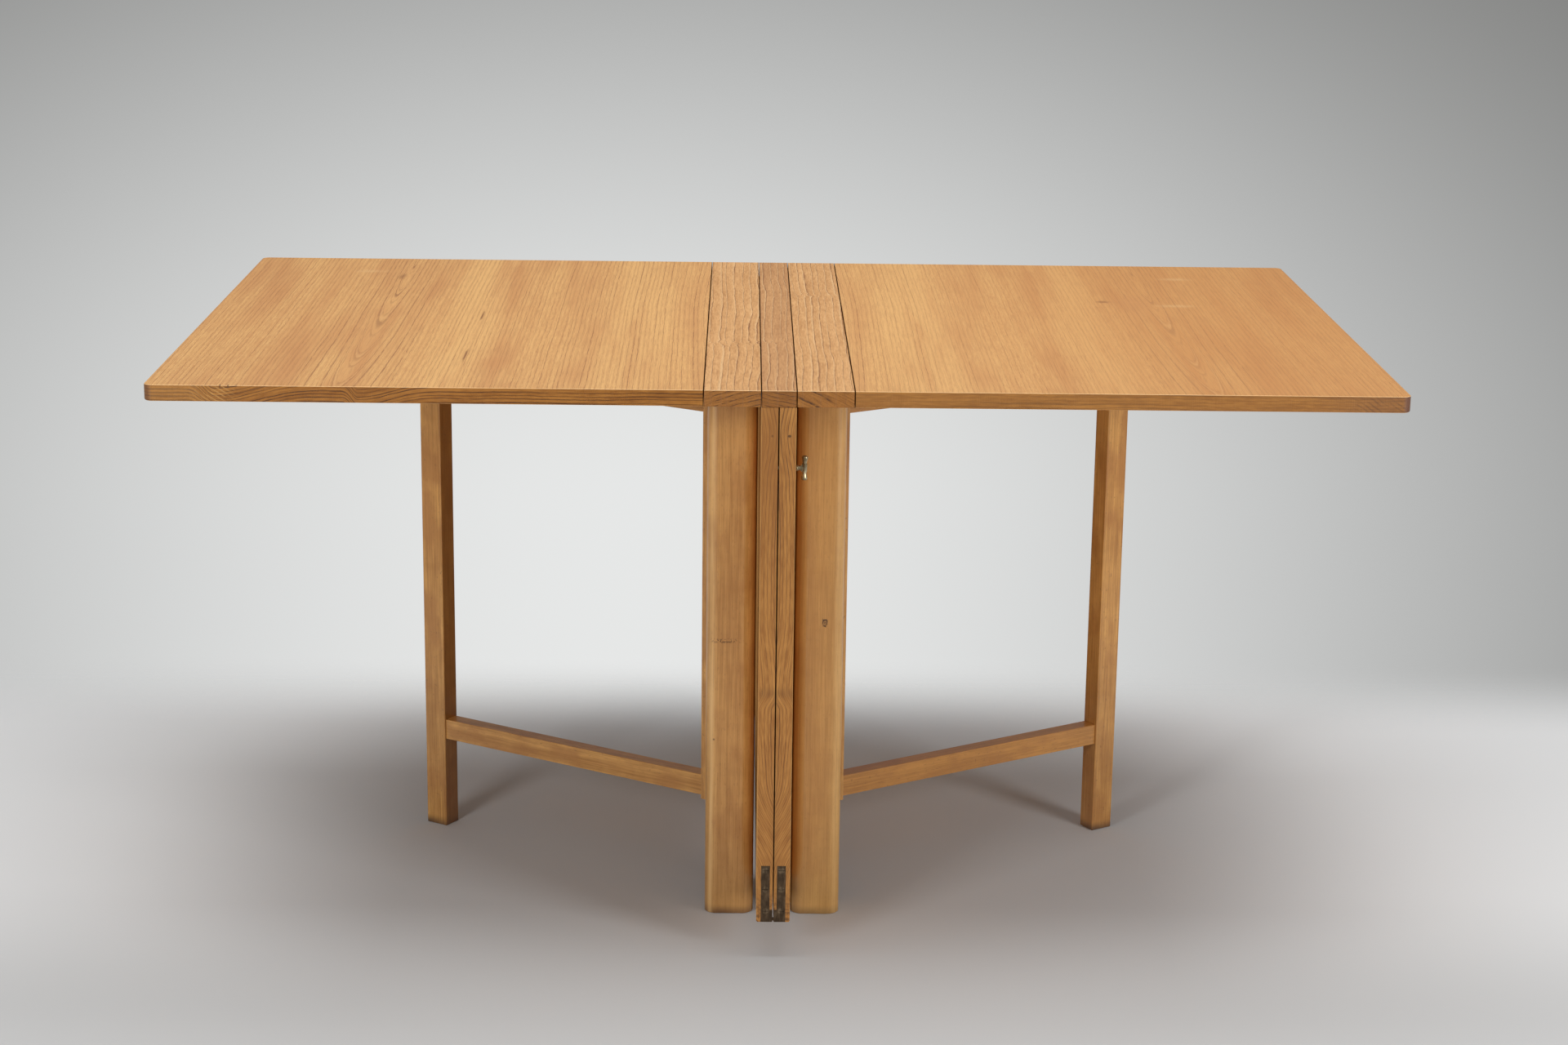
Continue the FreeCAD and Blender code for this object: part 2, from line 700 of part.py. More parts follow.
left_panel, left_lippings = split_lippings(inner_leaf(bush_hole(clamp_tip_length + clamp_socket_floor)))
save("left_inner_leaf", [mirrored(left_panel, across)])
save("left_inner_leaf_lippings", [mirrored(left_lippings, across)])

save("centre_strip", [centre_strip()])
save("card_hinge_links", card_links())
save("clamp_bush", [clamp_bush()])
save("clamp_socket", [clamp_socket()])
save("clamp_spindle", [clamp_spindle()])
save("clamp_crossbar", [clamp_crossbar()])
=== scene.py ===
import bmesh
import bpy
import math
from mathutils import Matrix, Vector


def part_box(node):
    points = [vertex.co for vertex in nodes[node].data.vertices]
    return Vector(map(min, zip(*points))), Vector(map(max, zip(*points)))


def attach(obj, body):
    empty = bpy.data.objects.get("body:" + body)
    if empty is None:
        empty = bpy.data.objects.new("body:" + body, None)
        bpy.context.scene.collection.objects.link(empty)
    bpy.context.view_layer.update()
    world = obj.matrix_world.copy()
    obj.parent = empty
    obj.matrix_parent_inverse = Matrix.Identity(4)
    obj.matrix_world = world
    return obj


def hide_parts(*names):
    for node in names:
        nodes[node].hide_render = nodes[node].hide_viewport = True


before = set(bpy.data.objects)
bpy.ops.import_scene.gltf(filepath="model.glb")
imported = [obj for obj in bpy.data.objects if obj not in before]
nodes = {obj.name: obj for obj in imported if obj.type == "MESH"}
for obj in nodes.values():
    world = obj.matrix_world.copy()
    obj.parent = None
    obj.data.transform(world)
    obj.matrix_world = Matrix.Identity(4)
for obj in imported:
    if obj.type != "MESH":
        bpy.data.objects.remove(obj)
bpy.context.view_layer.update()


# Wide legs, rails and pivot blocks of both half-stands.
# Straight-grained beech, planed and boldly rounded, oiled and darkened by use, with painted shade and
# highlights in its colour.
# The rails are tenoned into the legs, and dowels hold the legs to the fixed strips.

ACROSS = (1, 0, 0)
DEPTHWISE = (0, 1, 0)
UPRIGHT = (0, 0, 1)


class Shade:
    """A socket in a node tree, so that a pattern can be written as plain arithmetic."""

    def __init__(self, tree, socket=None):
        self.tree = tree
        self.socket = socket

    def node(self, kind, settings={}, sockets={}, output=0):
        """Adds a node: its settings first, then the value or the link of each socket."""
        node = self.tree.nodes.new("ShaderNode" + kind)
        for name, setting in settings.items():
            setattr(node, name, setting)
        for name, value in sockets.items():
            if isinstance(value, Shade):
                self.tree.links.new(value.socket, node.inputs[name])
            else:
                node.inputs[name].default_value = value
        return Shade(self.tree, node.outputs[output])

    def maths(self, operation, first, second=0.0):
        return self.node("Math", {"operation": operation}, {0: first, 1: second})

    def __add__(self, other):
        return self.maths("ADD", self, other)

    def __radd__(self, other):
        return self.maths("ADD", other, self)

    def __sub__(self, other):
        return self.maths("SUBTRACT", self, other)

    def __rsub__(self, other):
        return self.maths("SUBTRACT", other, self)

    def __mul__(self, other):
        return self.maths("MULTIPLY", self, other)

    def __rmul__(self, other):
        return self.maths("MULTIPLY", other, self)

    def __truediv__(self, other):
        return self.maths("DIVIDE", self, other)

    def __pow__(self, other):
        return self.maths("POWER", self, other)

    def __abs__(self):
        return self.maths("ABSOLUTE", self)

    def fraction(self):
        return self.maths("FRACT", self)

    def least(self, other):
        return self.maths("MINIMUM", self, other)

    def most(self, other):
        return self.maths("MAXIMUM", self, other)

    def hypotenuse(self, other):
        """The distance that this value and another at right angles to it make together."""
        return (self ** 2 + other ** 2) ** 0.5

    def rise(self, start, end):
        """From 0 at start to 1 at end, smoothly; start may be the larger."""
        ends = {"Value": self, "From Min": start, "From Max": end}
        return self.node("MapRange", {"interpolation_type": "SMOOTHSTEP"}, ends)

    def hump(self, middle, reach):
        """1 where this value is the middle one, smoothly down to 0 a reach away on both sides."""
        return abs(self - middle).rise(reach, 0.0)

    def right(self, blur=0.01):
        """1 where this place across the table is on the right, 0 on the left, blurred in between."""
        return self.rise(-blur, blur)

    def left(self, blur=0.01):
        """1 where this place across the table is on the left, 0 on the right, blurred in between."""
        return self.rise(blur, -blur)

    def blend(self, first, second):
        """A colour that goes from the first to the second as this value goes from 0 to 1."""
        return self.node("Mix", {"data_type": "RGBA"}, {0: self, 6: first, 7: second}, 2)

    def dot(self, direction):
        """How far this place lies along a direction."""
        return self.node("VectorMath", {"operation": "DOT_PRODUCT"}, {0: self, 1: direction}, "Value")

    def axes(self):
        """How far this place lies across, depthwise and upright."""
        return [self.dot(axis) for axis in (ACROSS, DEPTHWISE, UPRIGHT)]

    def point(self, x, y, z):
        return self.node("CombineXYZ", {}, {0: x, 1: y, 2: z})

    def noise(self, x, y, z, detail=2.0):
        """Cloudy noise from 0 to 1 on three numbers, one feature for each whole step."""
        return self.node("TexNoise", {}, {"Vector": self.point(x, y, z), "Scale": 1.0, "Detail": detail})


def start_material(name):
    """A new material and the place on the piece, in metres."""
    material = bpy.data.materials.new(name)
    material.use_nodes = True
    place = Shade(material.node_tree).node("TexCoord", output="Object")
    return material, place


SHEENLESS = {"Roughness": 1.0, "Specular IOR Level": 0.0}


def finish_material(material, colour, roughness, height, relief, constants, raw=None):
    """Feeds the shader; relief is the bump's depth in metres, and raw marks where the wood has no sheen."""
    tree = material.node_tree
    shader = tree.nodes["Principled BSDF"]
    bump = height.node("Bump", {}, {"Height": height, "Strength": 1.0, "Distance": relief})
    for name, value in {"Base Color": colour, "Roughness": roughness, "Normal": bump}.items():
        tree.links.new(value.socket, shader.inputs[name])
    for name, value in constants.items():
        shader.inputs[name].default_value = value
    if raw:
        raw_wood = colour.node("BsdfPrincipled", {}, {"Base Color": colour, **SHEENLESS})
        mixed = colour.node("MixShader", {}, {0: raw, 1: Shade(tree, shader.outputs[0]), 2: raw_wood})
        tree.links.new(mixed.socket, tree.nodes["Material Output"].inputs["Surface"])


def dress(names, material):
    """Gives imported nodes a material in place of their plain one."""
    for name in names:
        for slot in nodes[name].material_slots:
            slot.material = material


def both(*names):
    """The names of a piece's node on the left and on the right half."""
    return [side + "_" + name for name in names for side in ("left", "right")]


BEECH_PALE = (0.73, 0.400, 0.126, 1)
BEECH_DEEP = (0.47, 0.225, 0.058, 1)
BEECH_RED = (0.40, 0.165, 0.040, 1)
BEECH_FLECK_AND_SHADE = (0.22, 0.090, 0.026, 1)
BEECH_SOIL_AND_SHADE = (0.085, 0.040, 0.018, 1)
BEECH_RELIEF = 0.00008
OILED = {"Specular IOR Level": 0.45, "Coat Weight": 0.30, "Coat Roughness": 0.16}
SOILED_FOOT_Z = (0.014, 0.001)
SHADED_FOOT_Z = (0.34, 0.0)


def beech(name, along, side, scuffs, pale=BEECH_PALE, deep=BEECH_DEEP):
    """Plain wood along one direction: bands, streaks, short flecks, stains, dents, soiled feet and painted
    shade towards the floor.
    """
    material, place = start_material(name)
    run = place.dot(along)
    width = place.dot(side)
    depth = place.dot(Vector(along).cross(Vector(side)))
    z = place.dot(UPRIGHT)
    bands = place.noise(width * 130, depth * 130, run * 1.3, 3.0)
    clouds = place.noise(width * 13, depth * 13, run * 6.0, 5.0)
    ripple = place.noise(width * 30, depth * 30, run * 60.0, 1.0)
    streaks = place.noise(width * 480, depth * 480, run * 15.0, 3.0)
    flecks = place.noise(width * 700, depth * 700, run * 150.0, 0.0).rise(0.64, 0.78)
    tone = bands * 0.7 + clouds * 1.1 + streaks * 1.1 + ripple * 0.25 - 1.08
    colour = tone.rise(0.05, 0.95).blend(deep, pale)
    stains = place.noise(width * 26, depth * 26, run * 13.0, 4.0).rise(0.48, 0.64)
    colour = (stains * (0.22 + scuffs * 0.43)).blend(colour, BEECH_RED)
    colour = (flecks * 0.18).blend(colour, BEECH_FLECK_AND_SHADE)
    dents = place.noise(width * 330, depth * 330, run * 210.0, 0.0).rise(0.76, 0.82) * scuffs
    colour = (dents * 0.4).blend(colour, BEECH_FLECK_AND_SHADE)
    # The soil at the very foot is dirt; the wider darkening towards the floor is painted shade.
    soil = z.rise(*SOILED_FOOT_Z) * clouds.rise(0.25, 0.6)
    colour = (soil * 0.8 + z.rise(*SHADED_FOOT_Z) * 0.16).blend(colour, BEECH_SOIL_AND_SHADE)
    return material, place, colour, 0.26 + clouds * 0.16, streaks * 0.6 - flecks * 0.3 - dents


def finished_beech(name, along, side, scuffs, pale=BEECH_PALE, deep=BEECH_DEEP):
    """The plain wood as a whole material."""
    material, _, colour, roughness, height = beech(name, along, side, scuffs, pale, deep)
    finish_material(material, colour, roughness, height, BEECH_RELIEF, OILED)
    return material


RIGHT_LEG_STRAW = (0.72, 0.425, 0.132, 1)
BEECH_HIGHLIGHT = (0.86, 0.56, 0.25, 1)
LEG_MARK_AND_SHADE = (0.070, 0.026, 0.010, 1)
LEG_FRONT_Y = (-0.296, -0.300)
LEG_INNER_FACE_X = (0.0270, 0.0250)
LEG_SHADED_SIDE_X = (0.058, 0.026)
LEG_SHADOW_TOP_Z = (0.62, 0.70)
LEG_SHADED_FOOT_Z = (0.16, 0.03)
LEG_CORNER_X = 0.0792
LEG_CORNER_REACH = 0.0046
KNOT_X = 0.0625
KNOT_Z = 0.392
KNOT_RING = 0.0050
DENTS_X = -0.063
DENTS_Z = 0.367
SPOT_X = -0.076
SPOT_Z = 0.236


def leg_beech():
    """The legs' wood: painted shade on the inner sides and faces, under the top and towards the feet, painted
    highlights on the outer corners, and a ringed knot, dents and a spot in front.
    """
    material, place, colour, roughness, height = beech("oiled_beech_legs", UPRIGHT, ACROSS, 0.25)
    x, y, z = place.axes()
    colour = (x.right() * 0.28).blend(colour, RIGHT_LEG_STRAW)
    left = x.left()
    # Painted shade: darker on the sides towards the hanging leaves, and on the left leg under the top's
    # overhang and towards the foot.
    darkened = abs(x).rise(*LEG_SHADED_SIDE_X) * (1 - left) * 0.34
    darkened = darkened + z.rise(*LEG_SHADOW_TOP_Z) * left * 0.40 + z.rise(*LEG_SHADED_FOOT_Z) * left * 0.20
    colour = darkened.blend(colour, BEECH_FLECK_AND_SHADE)
    # Painted highlight along the outer rounded corners, strongest on the left leg.
    corner_highlight = 0.20 + place.noise(x * 150, z * 6.0, 8.0).rise(0.35, 0.65) * 0.40
    corner_highlight = abs(x).hump(LEG_CORNER_X, LEG_CORNER_REACH) * corner_highlight * (0.4 + left * 0.6)
    colour = corner_highlight.blend(colour, BEECH_HIGHLIGHT)
    front = y.rise(*LEG_FRONT_Y)
    from_knot = (x - KNOT_X).hypotenuse((z - KNOT_Z) * 0.8)
    from_knot = from_knot + place.noise(x * 240, z * 190, 2.0) * 0.0042
    knot = 0.55 + place.noise(x * 150, z * 150, 4.0).rise(0.35, 0.6) * 0.75
    knot = from_knot.hump(KNOT_RING, 0.0018) * knot + from_knot.rise(0.0040, 0.0028) * 0.7
    dents = place.noise(x * 520, z * 330, 3.0, 0.0).rise(0.50, 0.60)
    dents = dents * z.hump(DENTS_Z, 0.0045) * x.hump(DENTS_X, 0.028)
    shake = place.noise(x * 260, z * 260, 0.0) * 0.0020
    from_spot = (x - SPOT_X).hypotenuse(z - SPOT_Z) + shake * 0.5
    marks = (knot + dents * 0.9 + from_spot.rise(0.0024, 0.0010) * 0.7) * front
    colour = marks.least(0.95).blend(colour, LEG_MARK_AND_SHADE)
    # Painted shade on the inner faces, which stand close to the hanging leaves; they also lose their sheen.
    inner_face = abs(x).rise(*LEG_INNER_FACE_X)
    colour = (inner_face * 0.6).blend(colour, LEG_MARK_AND_SHADE)
    finish_material(material, colour, roughness, height - marks, BEECH_RELIEF, OILED, inner_face)
    return material


dress(both("front_leg", "back_leg"), leg_beech())
dress(both("leg_dowels"), finished_beech("oiled_beech_dowels", UPRIGHT, ACROSS, 0.0))
dress(both("upper_rail", "lower_rail", "pivot_block"),
      finished_beech("oiled_beech_depthwise", DEPTHWISE, ACROSS, 0.3))


# Gates, which swing out from behind the front legs to hold the outer leaves up.
# The same beech in slimmer sticks, more scuffed: stile and post upright, top rail and
# stretcher tenoned between them, with the grain of the rails along the gate.

GATE_ANGLE = math.radians(31.5)
GATE_SCUFFS = 1.0
GATE_PALE = (0.72, 0.375, 0.105, 1)
GATE_DEEP = (0.40, 0.172, 0.038, 1)
GATE_RUDDY = (0.60, 0.275, 0.062, 1)


def surface_normal(place):
    """The direction in which the surface faces."""
    return place.node("TexCoord", output="Normal")


def gate_upright_beech():
    """The uprights' wood, with painted shade on the sides that face the middle of the table, most on the
    left.
    """
    material, place, colour, roughness, height = beech("oiled_beech_gate_upright", UPRIGHT, ACROSS,
                                                       GATE_SCUFFS, GATE_PALE, GATE_DEEP)
    right = place.dot(ACROSS).right()
    inward = surface_normal(place).dot(ACROSS) * (1 - right * 2)
    # Painted shade on the faces turned towards the middle.
    colour = (inward.rise(0.2, 0.7) * (0.48 - right * 0.30)).blend(colour, BEECH_FLECK_AND_SHADE)
    finish_material(material, colour, roughness, height, BEECH_RELIEF, OILED)
    return material


dress(both("gate_stile", "gate_post"), gate_upright_beech())
for half, way, pale in (("left", -1, GATE_PALE), ("right", 1, GATE_RUDDY)):
    along_gate = (way * math.cos(GATE_ANGLE), math.sin(GATE_ANGLE), 0)
    gate_beech = finished_beech("oiled_beech_" + half + "_gate", along_gate, UPRIGHT, GATE_SCUFFS,
                                pale, GATE_DEEP)
    dress([half + "_gate_top_rail", half + "_gate_stretcher"], gate_beech)


# Pivot pins of the gates and the butt hinges under the strips and leaves.
# Plated steel gone dull, the plates let into the wood and held by countersunk screws.

STEEL_DULL = (0.33, 0.32, 0.30, 1)
STEEL_WORN = (0.52, 0.51, 0.49, 1)
METAL_RELIEF = 0.00004


def plated_steel():
    """Dull plating with rubbed patches and fine scratches."""
    material, place = start_material("dull_plated_steel")
    x, y, z = place.axes()
    wear = place.noise(x * 120, y * 120, z * 120, 4.0)
    scratches = place.noise(x * 1500, y * 120, z * 1500)
    colour = wear.rise(0.4, 0.7).blend(STEEL_DULL, STEEL_WORN)
    finish_material(material, colour, 0.34 + wear * 0.22, scratches, METAL_RELIEF, {"Metallic": 1.0})
    return material


dress(both("gate_pivot_pins", "strip_hinge_plates", "hinge_pins", "strip_hinge_screws",
           "outer_leaf_hinge_plates", "outer_leaf_hinge_screws", "inner_leaf_hinge_plates",
           "inner_leaf_hinge_screws"), plated_steel())


# Fixed strips, the narrow solid boards that stay on the legs.
# Elm with bold wavy growth lines along the depth and curved ones on the sawn ends;
# dowelled to the legs and hinged to the leaves, with grime and painted shade darkening both joints.

ELM_PALE = (0.79, 0.435, 0.175, 1)
ELM_DEEP = (0.55, 0.262, 0.084, 1)
ELM_LINE = (0.23, 0.080, 0.020, 1)
ELM_END_PALE = (0.39, 0.158, 0.030, 1)
ELM_END_DEEP = (0.20, 0.070, 0.010, 1)
ELM_END_LINE = (0.050, 0.015, 0.004, 1)
ELM_HIGHLIGHT = (0.88, 0.60, 0.31, 1)
ELM_FINISH = {"Specular IOR Level": 0.40}
JOINT_GRIME_AND_SHADE = (0.050, 0.016, 0.005, 1)
JOINT_DARK_REACH = (0.00110, 0.00055)
INNER_JOINT_X = 0.02105
OUTER_JOINT_X = 0.08965
CENTRE_STRIP_SIDE_X = (0.0212, 0.0206)
STRIP_RING = 0.0098
STRIP_RELIEF = 0.00020
ARRIS_Z = 0.715
ARRIS_RISE = 0.003


def growth_lines(rings, breaks, width):
    """Dark lines where each ring starts, sharp on one side, softer on the other and broken in places."""
    part = rings.fraction()
    line = part.rise(0.0, 0.03) * part.rise(width, width * 0.3)
    return line * (0.35 + breaks.rise(0.34, 0.60) * 0.65)


def facing(place, direction):
    """How squarely the surface faces along a direction, either way."""
    return abs(surface_normal(place).dot(direction))


def near_top(z):
    """1 along the upper edges of the top, 0 below them."""
    return (z - ARRIS_Z).rise(0.0, ARRIS_RISE)


def grimed_and_shaded(x, colour):
    """Colour of a top board, dark close to the long joints with grime and painted shade, and how dark it is
    there.
    """
    # The dark band along each joint is partly grime and partly painted shade in the gap.
    from_joint = abs(abs(x) - INNER_JOINT_X).least(abs(abs(x) - OUTER_JOINT_X))
    grime_and_shade = from_joint.rise(*JOINT_DARK_REACH)
    return (grime_and_shade * 0.95).blend(colour, JOINT_GRIME_AND_SHADE), grime_and_shade


def elm_strip(name, pale, deep, kink_y, end_middle, end_slope, end_bow, end_ring, end_reach):
    """A solid board: lines that sway along it and kink at one place, leaning curves on its sawn ends, and
    painted highlights beside the lines and on the upper arris.
    """
    material, place = start_material(name)
    x, y, z = place.axes()
    sway = place.noise(x * 7, y * 3.0, 2.0) * 0.020 + place.noise(x * 40, y * 16, 4.0) * 0.0026
    sway = sway + place.noise(x * 300, y * 55, 5.0) * 0.0012 + y.rise(kink_y - 0.007, kink_y + 0.007) * 0.005
    sway = sway + y.hump(kink_y, 0.030) * (place.noise(x * 75, y * 50, 6.0) - 0.5) * 0.020
    rings = (x + sway) / STRIP_RING
    rings = rings + place.noise(rings * 0.8, y * 0.6, 3.0) * 1.6
    lines = growth_lines(rings, place.noise(x * 220, y * 26, 7.0), 0.15)
    # Painted highlight on one side of each growth line, with a matching ridge in the bump.
    ridges_and_highlights = rings.fraction().rise(0.84, 0.97)
    lean = z - (x - end_middle) * end_slope - (x - end_middle) ** 2 * end_bow
    lean = lean + place.noise(x * 45, z * 90, 1.0) * 0.0035
    end_lines = growth_lines(lean / end_ring, place.noise(x * 160, z * 260, 0.0), 0.26)
    end_lines = end_lines * (x - end_middle).hump(0.0, end_reach).rise(0.0, 0.45)
    hatch = place.noise(x * 60, (z - x * end_slope) * 520, 2.0)
    fibre = place.noise(x * 480, y * 24, z * 480)
    ticks = place.noise(x * 620, y * 75, z * 620, 1.0)
    pores = place.noise(x * 560, y * 36, 9.0, 1.0).rise(0.52, 0.70)
    tone = (place.noise(x * 60, y * 2.5, z * 60) * 0.7 + place.noise(x * 9, y * 5, z * 9, 3.0) * 0.5
            + fibre * 0.9 + ticks * 0.9 + rings.fraction() * 0.20).rise(1.10, 2.10)
    top = (ridges_and_highlights * 0.42).blend(tone.blend(deep, pale), ELM_HIGHLIGHT)
    top = (lines * 0.90).most(pores * 0.24).blend(top, ELM_LINE)
    end = (hatch * 1.1 + ticks * 0.4 - 0.25).rise(0.10, 0.85).blend(ELM_END_DEEP, ELM_END_PALE)
    end = (abs(x).rise(*CENTRE_STRIP_SIDE_X) * 0.35).blend(end, ELM_END_DEEP)
    end = (end_lines * 0.90).blend(end, ELM_END_LINE)
    colour = facing(place, DEPTHWISE).rise(0.45, 0.80).blend(top, end)
    # Painted highlight along the upper arris.
    arris_highlight = facing(place, UPRIGHT).hump(0.62, 0.36) * near_top(z)
    colour = (arris_highlight * 0.85).blend(colour, ELM_HIGHLIGHT)
    colour, grime_and_shade = grimed_and_shaded(x, colour)
    height = fibre * 0.35 + ticks * 0.2 + ridges_and_highlights * 0.4 - lines
    finish_material(material, colour, 0.40 + fibre * 0.12, height, STRIP_RELIEF, ELM_FINISH, grime_and_shade)
    return material


left_strip_elm = elm_strip("elm_left_strip", ELM_PALE, ELM_DEEP, kink_y=-0.163, end_middle=-0.040,
                           end_slope=0.24, end_bow=-2.2, end_ring=0.0062, end_reach=0.060)
right_strip_elm = elm_strip("elm_right_strip", ELM_PALE, ELM_DEEP, kink_y=0.182, end_middle=0.040,
                            end_slope=-0.52, end_bow=-3.0, end_ring=0.0160, end_reach=0.030)
dress(["left_fixed_strip"], left_strip_elm)
dress(["right_fixed_strip"], right_strip_elm)


# Outer leaves, the two wide flaps: panels veneered in elm with solid lippings.
# The veneer is two sheets to a leaf, mirrored from leaf to leaf, and runs over the lippings;
# the lippings' own grain shows along the edges.

VENEER_JOINT = 0.390
VENEER_RELIEF = 0.00014
FIGURE_X = 0.522
FIGURE_RING = 0.0062
FIGURE_TIP_PITCH = 0.215
FIGURE_TIP_Y = -0.205
FIGURE_SWAY = 0.0085
ARC_X = 0.085
ARC_PITCH = 0.16
GOLD_BAND_X = 0.405
INNER_GOLD_BAND_X = 0.185
LEAF_GOLD = (0.80, 0.450, 0.160, 1)
LEAF_TAN = (0.66, 0.325, 0.108, 1)
LEAF_RED = (0.58, 0.255, 0.082, 1)
LEAF_ORANGE = (0.60, 0.252, 0.062, 1)
LEAF_LINE = (0.29, 0.110, 0.033, 1)
LEAF_CREAM = (0.80, 0.50, 0.22, 1)


def veneer(place, across, along, orange, faintness):
    """Colour, roughness and height of a leaf's veneer, made more orange and fainter by two factors."""
    sway = place.noise(across * 3, along * 1.3, 0.0) * 0.015
    sway = sway + place.noise(across * 40, along * 16, 0.0) * 0.0018
    jag = place.noise(across * 330, along * 55, 8.0) * 0.0020
    from_figure = across - FIGURE_X + sway - FIGURE_SWAY + jag
    cut_depth = 3 * FIGURE_RING + (FIGURE_TIP_Y - along) * (FIGURE_RING / FIGURE_TIP_PITCH)
    figure = from_figure.hypotenuse(cut_depth)
    arc = (across - ARC_X + sway + jag).hypotenuse(along * (FIGURE_RING / ARC_PITCH))
    sheet = (across - VENEER_JOINT).rise(-0.0003, 0.0003)
    rings = (sheet * figure + (1 - sheet) * arc) / FIGURE_RING
    rings = rings + place.noise(rings * 0.55, sheet * 7, 0.0) * 1.5
    breaks = place.noise(across * 210, along * 22, 3.0)
    faint = place.noise(rings * 0.9, along * 1.5, 5.0).rise(0.28, 0.62)
    lines = growth_lines(rings, breaks + 0.08, 0.21) * (0.50 + faint * 0.50)
    hairlines = growth_lines(rings * 2 + 0.4, place.noise(across * 260, along * 28, 6.0), 0.26)
    heart = across.hump(FIGURE_X, 0.060) * along.rise(0.16, 0.0)
    lines = (lines * (1 - heart * 0.25)).most(hairlines * 0.45) * (1 - faintness)
    cream = rings.fraction().rise(0.86, 0.97) * rings.fraction().rise(1.0, 0.98) * heart * breaks
    fibre = place.noise(across * 480, along * 24, 1.0)
    ticks = place.noise(across * 620, along * 75, 2.0, 1.0)
    pores = place.noise(across * 560, along * 15, 7.0, 1.0).rise(0.50, 0.68)
    clouds = place.noise(across * 10, along * 2.2, sheet * 9, 5.0)
    bands = place.noise(across * 60, along * 1.0, sheet * 5, 3.0)
    gold = across.hump(GOLD_BAND_X, 0.055) * 0.55 + across.hump(INNER_GOLD_BAND_X, 0.075) * 0.45
    gold = gold + (clouds - 0.5) * 0.9 + (bands - 0.5) * 1.0
    grain = (fibre - 0.5) * 1.3 + (ticks - 0.5) * 1.0
    colour = (gold + 0.38 + grain).rise(-0.1, 1.0).blend(LEAF_TAN, LEAF_GOLD)
    red = place.noise(across * 24, along * 1.7, 4.0, 4.0) + heart * 0.14 + grain * 0.15
    colour = (red.rise(0.48, 0.72) * 0.7).blend(colour, LEAF_RED)
    colour = orange.blend(colour, LEAF_ORANGE)
    colour = (cream * 0.35).blend(colour, LEAF_CREAM)
    colour = (lines * 0.86).most(pores * 0.20).blend(colour, LEAF_LINE)
    height = fibre * 0.3 + ticks * 0.2 + cream * 0.3 - lines * 0.7 - pores * 0.3
    return colour, 0.40 + fibre * 0.10 + clouds * 0.06, height


def outer_veneer(place, x, y):
    """The veneer on the outer leaves, more orange and fainter in figure on the right one."""
    return veneer(place, abs(x), y, x.rise(0.10, 0.60) * 0.55, x.rise(0.0, 0.25) * 0.36)


EDGE_PALE = (0.42, 0.172, 0.029, 1)
EDGE_DEEP = (0.24, 0.083, 0.010, 1)
EDGE_LINE = (0.052, 0.016, 0.004, 1)
EDGE_SHEEN = (0.56, 0.29, 0.085, 1)
EDGE_RING = 0.0044
END_SEED = 12.0
BACK_SEED = 30


def edge_grain(place, run, offset, seed, ring, width=0.42, pale=EDGE_PALE, deep=EDGE_DEEP, faintness=0.0,
               unrest=1.0):
    """Colour, fibre and lines of a lipping's own grain: uneven lines that flow along it in low waves."""
    wave = place.noise(run * 2.6, seed, 0.0) * 0.020
    wave = wave + place.noise(run * 14, seed, offset * 25) * (0.0036 * unrest)
    wave = wave + place.noise(run * 90, seed, offset * 200) * (0.0010 * unrest)
    rings = (offset + wave) / ring
    rings = rings + place.noise(rings * 0.7, seed, run * 1.5) * 1.5
    lines = growth_lines(rings, place.noise(run * 36, seed, offset * 420) + 0.08, width)
    lines = lines * (0.55 + place.noise(run * 6, seed, offset * 90).rise(0.32, 0.60) * 0.45) * (1 - faintness)
    fibre = place.noise(run * 60, seed, offset * 520)
    tone = place.noise(run * 9, seed, offset * 130) * 0.9 + fibre * 0.9
    colour = (lines * 0.92).blend(tone.rise(0.55, 1.25).blend(deep, pale), EDGE_LINE)
    return colour, fibre, lines


REDDENED = ((-0.347, -0.306, 0.035, 0.060), (0.495, 0.137, 0.050, 0.100))
CURLED = ((-0.578, 0.340, 0.034, 0.016), (0.578, 0.340, 0.034, 0.016), (0.550, 0.128, 0.040, 0.016))
STREAKED = ((-0.3880, -0.258, 0.0024, 0.055), (-0.3895, 0.007, 0.0024, 0.045))
DARK_CURL = (-0.528, 0.300, 0.008, 0.030)
DARK_SPOT = (0.452, 0.154, 0.014, 0.012)


def stain(place, middle_x, middle_y, reach_x, reach_y):
    """A ragged oval patch on the top."""
    x = place.dot(ACROSS)
    y = place.dot(DEPTHWISE)
    away = ((x - middle_x) / reach_x).hypotenuse((y - middle_y) / reach_y)
    return (away + place.noise(x * 190, y * 40, 1.0) * 0.8 - 0.4).rise(1.0, 0.1)


def stained(place, ovals):
    """Several such patches together."""
    patches = [stain(place, *oval) for oval in ovals]
    return sum(patches[1:], patches[0])


def outer_panel():
    """The veneer on an outer leaf with its few stains, and the long grain on its outer end."""
    material, place = start_material("elm_veneer_outer")
    x, y, z = place.axes()
    top, roughness, height = outer_veneer(place, x, y)
    top = (stained(place, REDDENED) * 0.45).blend(top, LEAF_RED)
    top = (stained(place, CURLED) * 0.35).blend(top, LEAF_CREAM)
    darkened = stain(place, *DARK_CURL) * 0.5 + stain(place, *DARK_SPOT) * 0.6
    top = (darkened + stained(place, STREAKED) * 0.9).blend(top, ELM_LINE)
    end, _, _ = edge_grain(place, y, z, END_SEED, EDGE_RING)
    colour = facing(place, ACROSS).rise(0.5, 0.85).blend(top, end)
    colour, grime_and_shade = grimed_and_shaded(x, colour)
    finish_material(material, colour, roughness, height, VENEER_RELIEF, ELM_FINISH, grime_and_shade)
    return material


